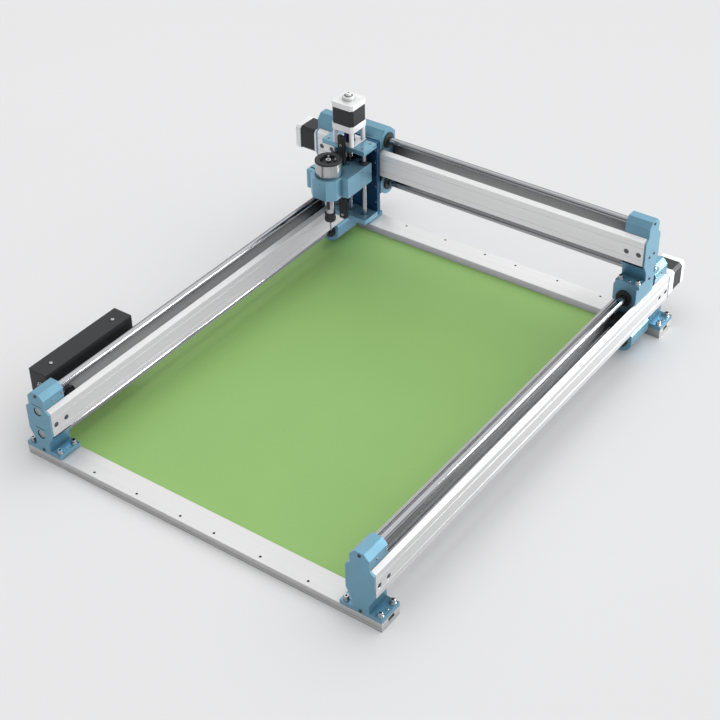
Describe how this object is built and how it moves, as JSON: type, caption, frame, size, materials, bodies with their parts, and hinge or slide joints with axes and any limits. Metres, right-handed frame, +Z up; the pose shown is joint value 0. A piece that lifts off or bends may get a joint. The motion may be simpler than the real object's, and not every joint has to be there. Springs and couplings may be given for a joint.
{
  "type": "cnc router",
  "caption": "Desktop gantry CNC router with twin Y rails, X beam, motorised Z axis and a clamped spindle over a flat work board.",
  "frame": {"origin": "centre of the footprint at the underside of the crossmembers", "axes": "+X to the right along the gantry beam, +Y to the rear along the rails, +Z up"},
  "size_m": [0.6612, 0.8566, 0.3184],
  "materials": {
    "anodised_blue": "satin blue anodising",
    "anodised_dark_blue": "satin dark blue anodising",
    "plain_aluminium": "fine brushed along its length",
    "ground_rod": "ground and polished",
    "machined_steel": "turned steel",
    "black_plastic": "matte black",
    "motor_housing": "black stack between plain end bells",
    "black_sheet": "satin black powder coat",
    "green_board": "plain matte green"
  },
  "bodies": {
    "base": {"front_crossmember": "plain_aluminium", "rear_crossmember": "plain_aluminium", "work_board": "green_board", "block_front_left": "anodised_blue", "block_front_right": "anodised_blue", "block_rear_left": "anodised_blue", "block_rear_right": "anodised_blue", "rail_left_outer_wall": "plain_aluminium", "rail_left_inner_wall": "plain_aluminium", "rail_right_outer_wall": "plain_aluminium", "rail_right_inner_wall": "plain_aluminium", "y_rod_left_upper": "ground_rod", "y_rod_left_lower": "ground_rod", "y_rod_right_upper": "ground_rod", "y_rod_right_lower": "ground_rod", "y_motor_left": "motor_housing", "y_motor_right": "motor_housing", "y_screw_bearing_left": "machined_steel", "y_screw_bearing_right": "machined_steel", "control_box_case": "black_sheet", "control_box_lid": "black_sheet", "y_limit_switch": "black_plastic"},
    "y_screw_left_body": {"y_screw_left": "machined_steel"},
    "y_screw_right_body": {"y_screw_right": "machined_steel"},
    "gantry": {"gantry_slider_left": "anodised_blue", "gantry_slider_right": "anodised_blue", "y_bearing_left_upper": "black_plastic", "y_bearing_left_lower": "black_plastic", "y_bearing_right_upper": "black_plastic", "y_bearing_right_lower": "black_plastic", "y_nut_left": "black_plastic", "y_nut_right": "black_plastic", "gantry_block_left": "anodised_blue", "gantry_block_right": "anodised_blue", "beam_front_wall": "plain_aluminium", "beam_rear_wall": "plain_aluminium", "x_rod_upper": "ground_rod", "x_rod_lower": "ground_rod", "x_motor": "motor_housing", "x_screw_bearing": "machined_steel"},
    "x_screw_body": {"x_screw": "machined_steel"},
    "x_carriage": {"x_slider": "anodised_blue", "x_bearing_upper": "black_plastic", "x_bearing_lower": "black_plastic", "x_nut": "black_plastic", "z_back_plate": "anodised_dark_blue", "z_top_plate": "anodised_blue", "z_bottom_plate": "anodised_blue", "z_rod_left": "ground_rod", "z_rod_right": "ground_rod", "z_limit_bar": "black_sheet", "z_motor_mount": "plain_aluminium", "z_motor": "motor_housing"},
    "z_screw_body": {"z_screw": "machined_steel"},
    "z_carriage": {"z_slider": "anodised_blue", "z_nut": "black_plastic", "spindle_clamp": "anodised_blue", "spindle_motor": "plain_aluminium"},
    "spindle": {"spindle_shaft": "machined_steel", "end_mill": "machined_steel"}
  },
  "joints": [
    {"name": "y_slide", "type": "slide", "parent": "base", "child": "gantry", "axis": [0, 1, 0], "range_m": [-0.6, 0.01]},
    {"name": "x_slide", "type": "slide", "parent": "gantry", "child": "x_carriage", "axis": [1, 0, 0], "range_m": [0, 0.41]},
    {"name": "z_slide", "type": "slide", "parent": "x_carriage", "child": "z_carriage", "axis": [0, 0, 1], "range_m": [-0.058, 0.004]},
    {"name": "spindle_spin", "type": "hinge", "parent": "z_carriage", "child": "spindle", "pos_m": [-0.1994, 0.18425, 0.14], "axis": [0, 0, 1], "continuous": true},
    {"name": "y_screw_left_spin", "type": "hinge", "parent": "base", "child": "y_screw_left_body", "pos_m": [-0.2624, 0, 0.0705], "axis": [0, 1, 0], "range_deg": [-460, 27010]},
    {"name": "y_screw_right_spin", "type": "hinge", "parent": "base", "child": "y_screw_right_body", "pos_m": [0.2976, 0, 0.0705], "axis": [0, 1, 0], "range_deg": [-460, 27010]},
    {"name": "x_screw_spin", "type": "hinge", "parent": "gantry", "child": "x_screw_body", "pos_m": [0, 0.28975, 0.1875], "axis": [1, 0, 0], "range_deg": [-18460, 10]},
    {"name": "z_screw_spin", "type": "hinge", "parent": "x_carriage", "child": "z_screw_body", "pos_m": [-0.1994, 0.24175, 0.2], "axis": [0, 0, 1], "range_deg": [-370, 5230]}
  ],
  "couplings": [
    {"joint": "y_screw_left_spin", "follows": "y_slide", "rad_per_m": -785.4},
    {"joint": "y_screw_right_spin", "follows": "y_slide", "rad_per_m": -785.4},
    {"joint": "x_screw_spin", "follows": "x_slide", "rad_per_m": -785.4},
    {"joint": "z_screw_spin", "follows": "z_slide", "rad_per_m": -1570.8}
  ]
}
